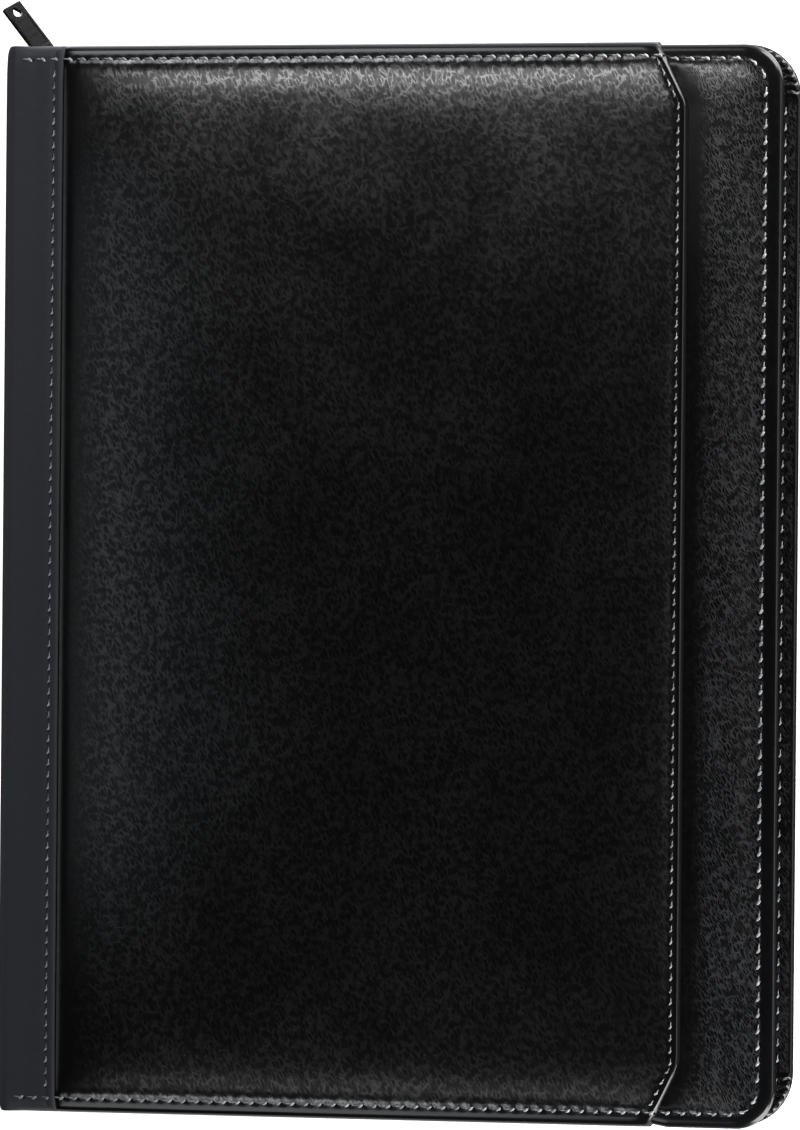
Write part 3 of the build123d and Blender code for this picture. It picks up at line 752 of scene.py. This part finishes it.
edge_stitch, hem_stitch, back_stitch = (3.3, 0.95), (2.4, 0.62), (2.7, 0.7)
top_y = half_height - top_groove
groove_z = case_top - 0.46
strip_top = case_top - 0.3
pocket_end = pocket_x - cut_x * 0.78 - 1.5
for name, y, slant in (("top_seam", top_y, -38), ("bottom_seam", -top_y, 32)):
    seam(name, "front_cover", [
        [(spine_x + 7, y, strip_top), (seam_x - 1, y, strip_top)],
        [(seam_x, y, groove_z), (pocket_end, y, groove_z)],
    ], top_pitch, edge_stitch, slant=slant)


def on_base(x, y):
    """A point of the seam in the groove of the front cover's rim."""
    return (x, y, base_top - 0.36)


edge_y = base_half - edge_groove
low_y = half_height - edge_groove
edge_x = right_x - edge_groove - side_shift
corner_x, corner_y = right_x - corner, base_half - corner
low_corner_y = -corner_y - half_height + base_half
edge_radius = corner - edge_groove
seam("edge_seam", "front_cover", [
    [on_base(pocket_end + 4, edge_y), on_base(corner_x, edge_y)],
    seam_arc(corner_x - side_shift, corner_y, edge_radius, 75, 15, on_base),
    [on_base(edge_x, corner_y), on_base(edge_x, -corner_y)],
    seam_arc(corner_x - side_shift, low_corner_y, edge_radius, -10, -80, on_base),
], edge_pitch, edge_stitch)
seam("corner_seam", "front_cover", [
    [on_base(pocket_end + 4, -low_y), on_base(corner_x, -low_y)],
], edge_pitch, edge_stitch, slant=32)
hem_x = pocket_x - hem_groove
hem_y = half_height - cut_y
hem_rows = [hem_y, 140, 125, 100, -100, -125, -140, -hem_y]
cut_mid = hem_x - cut_x * 0.38
cut_end = hem_x - cut_x * 0.76


def on_pocket(x, y):
    """A point of the hem's seam on the front pocket."""
    return (x, y, case_top - 0.14 + pocket_lift(pocket_x, y))


def on_strip(x, y):
    """A point of the seam along the spine strip's folded edge."""
    return (x, y, case_top + strip_puff * puff(half_height - abs(y)))


seam("pocket_seam", "front_cover", [
    [on_pocket(cut_end, half_height - 4.8), on_pocket(cut_mid, hem_y + 7.3),
     on_pocket(hem_x, hem_y)],
    *[[on_pocket(hem_x, a), on_pocket(hem_x, b)] for a, b in zip(hem_rows, hem_rows[1:])],
    [on_pocket(hem_x, -hem_y), on_pocket(cut_mid, -hem_y - 7.3),
     on_pocket(cut_end, 4.8 - half_height)],
], hem_pitch, hem_stitch)
strip_x = seam_x - strip_groove
strip_rows = [top_y - 2, 156, 148, 136, 110, -110, -136, -148, -156, 2 - top_y]
seam("strip_seam", "front_cover",
     [[on_strip(strip_x, a), on_strip(strip_x, b)] for a, b in zip(strip_rows, strip_rows[1:])],
     hem_pitch, hem_stitch)
back_y = half_height - turned_groove
back_x = right_x - turned_groove
back_corner_x, back_corner_y = right_x - back_corner, half_height - back_corner
margin_z = back_high.z / MM - 0.12


def back_seam(z):
    """The back cover's seam on three sides, at the given height."""
    def level(x, y):
        return (x, y, z)

    return [
        [(spine_x + 22, back_y, z), (back_corner_x, back_y, z)],
        seam_arc(back_corner_x, back_corner_y, back_corner - turned_groove, 86, 4, level),
        [(back_x, back_corner_y, z), (back_x, -back_corner_y, z)],
        seam_arc(back_corner_x, -back_corner_y, back_corner - turned_groove, -4, -86, level),
        [(back_corner_x, -back_y, z), (spine_x + 22, -back_y, z)],
    ]


seam("back_edge_seam", "back_cover", back_seam(margin_z), edge_pitch, back_stitch)
seam("back_outer_seam", "back_cover", back_seam(0.45), edge_pitch, back_stitch, out=-1)

# Writing pad: white sheets glued in a block on a card back, with a dark paper binding
# folded over the top edge.
pad_paper, paper_tree, paper_skin = new_look("pad_paper")
paper_skin.inputs["Roughness"].default_value = 0.85
paper_where = paper_tree.nodes.new("ShaderNodeTexCoord")
paper_turn = paper_tree.nodes.new("ShaderNodeMapping")
paper_turn.inputs["Scale"].default_value = (2, 2, 5000)
paper_tree.links.new(paper_where.outputs["Object"], paper_turn.inputs["Vector"])
leaves = paper_tree.nodes.new("ShaderNodeTexNoise")
leaves.inputs["Scale"].default_value = 1
paper_tree.links.new(paper_turn.outputs[0], leaves.inputs["Vector"])
two_tones(paper_tree, leaves.outputs["Fac"], (0.66, 0.65, 0.61), (0.84, 0.83, 0.79),
          paper_skin.inputs["Base Color"], (0.3, 0.55))
dress(pad_paper, "pad_sheets")
# The second, lighter colour paints highlights on the binding's creases.
binding_paper = leather_look("binding_paper", (0.02, 0.022, 0.028), (0.03, 0.032, 0.038),
                             (0.6, 0.75), (0.6, 0.6, 0.3), 0.02, (0.3, 0.3))
dress(binding_paper, "pad_binding")

# Inside pockets: thin smooth leather panels sewn on at three sides, the pad's sleeve on
# the back cover and the document, card and window pockets on the front cover.
# The second, lighter colour paints highlights on the panels' creases.
pocket_leather = leather_look("pocket_leather", (0.006, 0.0061, 0.0066), (0.028, 0.028, 0.03),
                              (0.34, 0.4), (0.9, 1.6, 0.3), 0.02, (0.4, 0.6))
rim_inset = 1.6


def sewn_panel(name, cad, body, out, slope_drop=0.0):
    """Panel with a rounded mouth edge in a pocket's place; out is the way its face looks."""
    panel_low, panel_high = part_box(cad)
    bm = bmesh.new()
    size = block(bm, panel_low, panel_high)
    if slope_drop:
        for v in bm.verts:
            if v.co.y > 0 and v.co.x > panel_high.x / MM - 1:
                v.co.y -= slope_drop
    face_z = (panel_high.z if out > 0 else panel_low.z) / MM
    rims = [e for e in bm.edges if all(abs(v.co.z - face_z) < 0.01 for v in e.verts)]
    bmesh.ops.bevel(bm, geom=rims, offset=0.28, offset_type="OFFSET", segments=3, profile=0.5,
                    affect="EDGES", material=-1)
    grain = bm.verts.layers.float.new("grain")
    for v in bm.verts:
        v[grain] = 1.0
    panel = finish_piece(bm, name, pocket_leather, smooth=False)
    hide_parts(cad)
    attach(panel, body)
    x0, x1 = panel_low.x / MM + rim_inset, panel_high.x / MM - rim_inset
    y0, y1 = panel_low.y / MM + rim_inset, panel_high.y / MM - rim_inset
    path = [(x0, y1, face_z), (x0, y0, face_z), (x1, y0, face_z)]
    path.append((x1, y1 - slope_drop, face_z))
    seam(name + "_seam", body, [path], 3.4, (2.4, 0.55), lift=0.06, slant=-8, out=out)
    return panel


sewn_panel("pad_sleeve_panel", "pad_sleeve", "back_cover", 1)
sewn_panel("document_panel", "document_pocket", "front_cover", -1, 30.0)
for index in (1, 2, 3):
    sewn_panel(f"card_panel_{index}", f"card_pocket_{index}", "front_cover", -1)
border_low, border_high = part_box("window_frame")
border_width = 8.0
bm = bmesh.new()
size = block(bm, border_low, border_high)
flats = [f for f in bm.faces if abs(f.normal.z) > 0.9]
bmesh.ops.inset_individual(bm, faces=flats, thickness=border_width, depth=0)
bmesh.ops.bridge_loops(bm, edges=list({e for f in flats for e in f.edges}))
bmesh.ops.delete(bm, geom=flats, context="FACES_ONLY")
bmesh.ops.recalc_face_normals(bm, faces=bm.faces)
grain = bm.verts.layers.float.new("grain")
for v in bm.verts:
    v[grain] = 1.0
window_border = finish_piece(bm, "window_border", pocket_leather, smooth=False)
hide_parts("window_frame")
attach(window_border, "front_cover")
clear_film, _, film_skin = new_look("clear_film")
film_skin.inputs["Base Color"].default_value = (0.9, 0.92, 0.93, 1)
film_skin.inputs["Roughness"].default_value = 0.12
film_skin.inputs["Alpha"].default_value = 0.28
dress(clear_film, "window_film")

# Pen loop: a tube of black elastic on a flat foot, sewn down in the gutter
# beside the pad.
loop_low, loop_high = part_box("pen_loop")
loop_x = (loop_low.x + loop_high.x) / 2 / MM
loop_foot = loop_low.z / MM
loop_end = loop_high.y / MM
loop_radius = 5.6
elastic = 0.6
foot_width = 12.0
bm = bmesh.new()
loop_rows = [-loop_end, 0.3 - loop_end, -6, 0, 6, loop_end - 0.3, loop_end]
ring = [bm.verts.new((loop_x + loop_radius, y, loop_foot + loop_radius)) for y in loop_rows]
ring_edges = [bm.edges.new(pair) for pair in zip(ring, ring[1:])]
bmesh.ops.spin(bm, geom=ring + ring_edges, cent=(loop_x, 0, loop_foot + loop_radius),
               axis=(0, 1, 0), dvec=(0, 0, 0), angle=2 * math.pi, steps=40, use_merge=True)
bmesh.ops.remove_doubles(bm, verts=bm.verts, dist=0.001)
bmesh.ops.recalc_face_normals(bm, faces=bm.faces)
bmesh.ops.solidify(bm, geom=bm.faces[:], thickness=elastic)
foot = Matrix.Translation((loop_x, 0, loop_foot + elastic / 2))
foot = foot @ Matrix.Diagonal((foot_width, 2 * loop_end, elastic, 1))
bmesh.ops.create_cube(bm, size=1, matrix=foot)
pen_elastic = finish_piece(bm, "pen_elastic", woven_tape)
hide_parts("pen_loop")
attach(pen_elastic, "back_cover")

# Setting: the pale floor that the case lies on, soft boxes round it that draw the sheen on
# the leather, and the camera above, tilted to the zip side.
floor_look, _, floor_skin = new_look("pale_floor")
floor_skin.inputs["Base Color"].default_value = (0.9, 0.9, 0.9, 1)
floor_skin.inputs["Roughness"].default_value = 0.9
floor_skin.inputs["Specular IOR Level"].default_value = 0.1
floor_skin.inputs["Emission Color"].default_value = (1, 1, 1, 1)
floor_skin.inputs["Emission Strength"].default_value = 0.85
bm = bmesh.new()
bmesh.ops.create_grid(bm, x_segments=1, y_segments=1, size=40000)
floor_piece = finish_piece(bm, "floor", floor_look, smooth=False)
floor_piece.visible_glossy = False


def softbox(name, place, aim, width, length, power, colour=(1, 1, 1)):
    """A soft lamp that looks at a point."""
    lamp = bpy.data.lights.new(name, "AREA")
    lamp.shape = "RECTANGLE"
    lamp.size, lamp.size_y = width, length
    lamp.energy = power
    lamp.color = colour
    holder = bpy.data.objects.new(name, lamp)
    bpy.context.scene.collection.objects.link(holder)
    holder.location = place
    holder.rotation_euler = (Vector(aim) - Vector(place)).to_track_quat("-Z", "Y").to_euler()
    holder.visible_camera = False


softbox("key_box", (-0.3, 0.75, 0.55), (0.0, 0.0, 0.02), 0.3, 0.3, 2.2, (0.95, 0.97, 1.0))
softbox("lower_left_box", (-0.3, -0.65, 0.55), (-0.1, -0.1, 0.02), 0.3, 0.3, 1.0, (0.95, 0.97, 1.0))
softbox("left_sheen_box", (-0.26, 0.02, 0.42), (-0.26, 0.02, 0.0), 0.1, 0.26, 0.042, (0.9, 0.95, 1.0))
softbox("right_sheen_box", (0.06, 0.0, 0.42), (0.06, 0.0, 0.0), 0.06, 0.3, 0.016)
softbox("top_sheen_box", (-0.09, 0.24, 0.428), (-0.09, 0.24, 0.0), 0.26, 0.05, 0.4)
softbox("bottom_sheen_box", (-0.1, -0.245, 0.428), (-0.1, -0.245, 0.0), 0.27, 0.05, 0.045)
softbox("top_card", (0.0, 0.225, 0.002), (0.0, 0.225, 1.0), 0.34, 0.1, 0.25, (0.92, 0.96, 1.0))
softbox("bottom_card", (0.0, -0.225, 0.002), (0.0, -0.225, 1.0), 0.34, 0.1, 0.1)
softbox("top_wall", (0.0, 0.62, 0.06), (0.0, 0.16, 0.03), 0.6, 0.12, 0.5, (0.92, 0.96, 1.0))
softbox("upper_right_card", (0.19, 0.24, 0.002), (0.19, 0.24, 1.0), 0.12, 0.12, 0.45,
        (1.0, 0.97, 0.93))
softbox("lower_right_card", (0.19, -0.24, 0.002), (0.19, -0.24, 1.0), 0.12, 0.12, 0.4)
softbox("upper_right_wall", (0.295, 0.332, 0.026), (0.118, 0.155, 0.026), 0.24, 0.05, 0.9,
        (1.0, 0.97, 0.93))
softbox("upper_right_box", (0.23, 0.33, 0.11), (0.11, 0.15, 0.025), 0.14, 0.1, 1.0,
        (1.0, 0.97, 0.93))
softbox("lower_right_wall", (0.295, -0.332, 0.026), (0.118, -0.155, 0.026), 0.24, 0.05, 0.75)
softbox("lower_right_box", (0.23, -0.33, 0.11), (0.11, -0.15, 0.025), 0.14, 0.1, 0.9)
softbox("right_box", (0.5, 0.0, 0.28), (0.125, 0.0, 0.01), 0.56, 0.16, 0.8, (0.92, 0.96, 1.0))
softbox("right_wall", (0.6, 0.0, 0.05), (0.12, 0.0, 0.026), 0.6, 0.1, 0.2)
softbox("left_box", (-0.8, 0.0, 0.4), (-0.1, 0, 0.02), 0.6, 0.5, 1.0, (0.92, 0.96, 1.0))
world = bpy.data.worlds.new("studio")
bpy.context.scene.world = world
world.use_nodes = True
sky = world.node_tree.nodes["Background"]
sky.inputs["Color"].default_value = (1, 1, 1, 1)
sky.inputs["Strength"].default_value = 0.015
bpy.context.scene.view_settings.view_transform = "Standard"

tilt = math.radians(17.2)
view_distance = 3.15
frame_height = 0.3548
lens_roll = math.radians(0.5)
camera_data = bpy.data.cameras.new("camera")
camera_data.sensor_width = 36
camera_data.lens = 36 * view_distance / frame_height
camera_data.clip_end = 100
camera = bpy.data.objects.new("camera", camera_data)
bpy.context.scene.collection.objects.link(camera)
look_at = Vector((0.0011, 0.0053, 0.014))
back = Vector((math.sin(tilt), 0, math.cos(tilt)))
camera.location = look_at + back * view_distance
right_way = Vector((math.cos(tilt), 0, -math.sin(tilt)))
up_way = Vector((0, 1, 0))
turned_right = right_way * math.cos(lens_roll) + up_way * math.sin(lens_roll)
turned_up = up_way * math.cos(lens_roll) - right_way * math.sin(lens_roll)
camera.rotation_euler = Matrix((turned_right, turned_up, back)).transposed().to_euler()
bpy.context.scene.camera = camera
